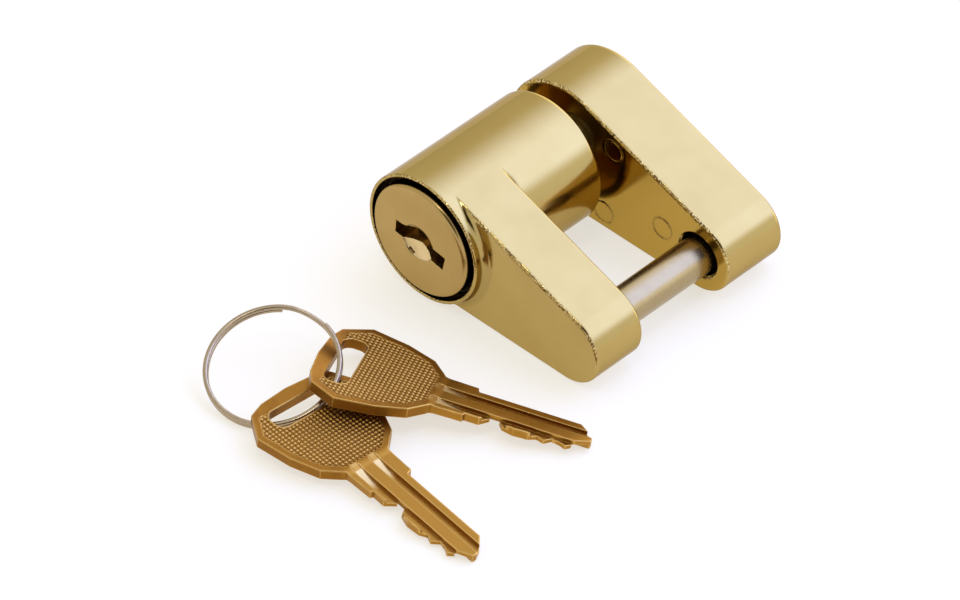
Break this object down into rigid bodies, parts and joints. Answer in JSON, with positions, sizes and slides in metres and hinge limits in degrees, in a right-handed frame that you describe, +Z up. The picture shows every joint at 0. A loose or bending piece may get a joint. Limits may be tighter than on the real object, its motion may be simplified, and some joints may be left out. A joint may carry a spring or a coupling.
{
  "type": "trailer coupler lock",
  "caption": "Brass-plated trailer coupler latch lock: key cylinder body, steel shackle pin, sliding rear arm on a notched stud, with keys on a split ring.",
  "frame": {"origin": "on the shackle pin's axis, midway between the two arms at the stored span", "axes": "+Y along the shackle pin from the key side to the rear arm, +Z up from the face that the lock lies on, the key cylinder at -X"},
  "size_m": [0.0581, 0.0866, 0.0223],
  "materials": {
    "plated_casting": "bright brass plating over a zinc die casting",
    "plated_face": "satin brass plating",
    "pin_steel": "ground and plated steel",
    "ring_steel": "drawn spring steel wire",
    "key_brass": "coined key brass, satin",
    "cylinder_brass": "machined brass",
    "inner_steel": "hardened steel, lightly oiled",
    "spring_steel": "spring wire"
  },
  "bodies": {
    "body": {"lock_body": "plated_casting", "shackle_pin": "pin_steel", "cylinder_sleeve": "cylinder_brass", "sleeve_pin": "inner_steel"},
    "plug": {"cylinder_face": "plated_face", "cylinder_plug": "cylinder_brass", "cam_disc": "inner_steel", "cam_screw": "inner_steel", "wafer_spring_1": "spring_steel", "wafer_spring_2": "spring_steel", "wafer_spring_3": "spring_steel", "wafer_spring_4": "spring_steel", "wafer_spring_5": "spring_steel"},
    "bolt": {"locking_bolt": "inner_steel", "bolt_follower": "inner_steel"},
    "wafer_1": {"wafer_1": "cylinder_brass"},
    "wafer_2": {"wafer_2": "cylinder_brass"},
    "wafer_3": {"wafer_3": "cylinder_brass"},
    "wafer_4": {"wafer_4": "cylinder_brass"},
    "wafer_5": {"wafer_5": "cylinder_brass"},
    "rear_half": {"rear_arm": "plated_casting", "locking_stud": "inner_steel", "stud_pin": "inner_steel"},
    "ring": {"split_ring": "ring_steel"},
    "key_a": {"key_a": "key_brass"},
    "key_b": {"key_b": "key_brass"}
  },
  "joints": [
    {"name": "key_turn", "type": "hinge", "parent": "body", "child": "plug", "pos_m": [-0.0282, -0.015, 0.00485], "axis": [0, 1, 0], "range_deg": [0, 90]},
    {"name": "bolt_slide", "type": "slide", "parent": "body", "child": "bolt", "axis": [0, 0, 1], "range_m": [0, 0.0016]},
    {"name": "arm_slide", "type": "slide", "parent": "body", "child": "rear_half", "axis": [0, 1, 0], "range_m": [-0.0024, 0.045]},
    {"name": "wafer_1_slide", "type": "slide", "parent": "plug", "child": "wafer_1", "axis": [1, 0, 0], "range_m": [-0.0004, 0.0004], "stiffness_N_per_m": 20, "deforming": ["wafer_spring_1"]},
    {"name": "wafer_2_slide", "type": "slide", "parent": "plug", "child": "wafer_2", "axis": [1, 0, 0], "range_m": [-0.0004, 0.0004], "stiffness_N_per_m": 20, "deforming": ["wafer_spring_2"]},
    {"name": "wafer_3_slide", "type": "slide", "parent": "plug", "child": "wafer_3", "axis": [1, 0, 0], "range_m": [-0.0004, 0.0004], "stiffness_N_per_m": 20, "deforming": ["wafer_spring_3"]},
    {"name": "wafer_4_slide", "type": "slide", "parent": "plug", "child": "wafer_4", "axis": [1, 0, 0], "range_m": [-0.0004, 0.0004], "stiffness_N_per_m": 20, "deforming": ["wafer_spring_4"]},
    {"name": "wafer_5_slide", "type": "slide", "parent": "plug", "child": "wafer_5", "axis": [1, 0, 0], "range_m": [-0.0004, 0.0004], "stiffness_N_per_m": 20, "deforming": ["wafer_spring_5"]},
    {"name": "ring_lift", "type": "slide", "parent": "body", "child": "ring", "axis": [0, 0, 1], "range_m": [0, 0.06]},
    {"name": "key_a_swing", "type": "hinge", "parent": "ring", "child": "key_a", "pos_m": [-0.0195, -0.0536, -0.0035], "axis": [0, 0, 1], "range_deg": [-10, 10]},
    {"name": "key_b_swing", "type": "hinge", "parent": "ring", "child": "key_b", "pos_m": [-0.0216, -0.0459, -0.001], "axis": [0, 0, 1], "range_deg": [0, 12]}
  ],
  "couplings": [
    {"joint": "bolt_slide", "follows": "key_turn", "m_per_rad": 0.0010186}
  ]
}
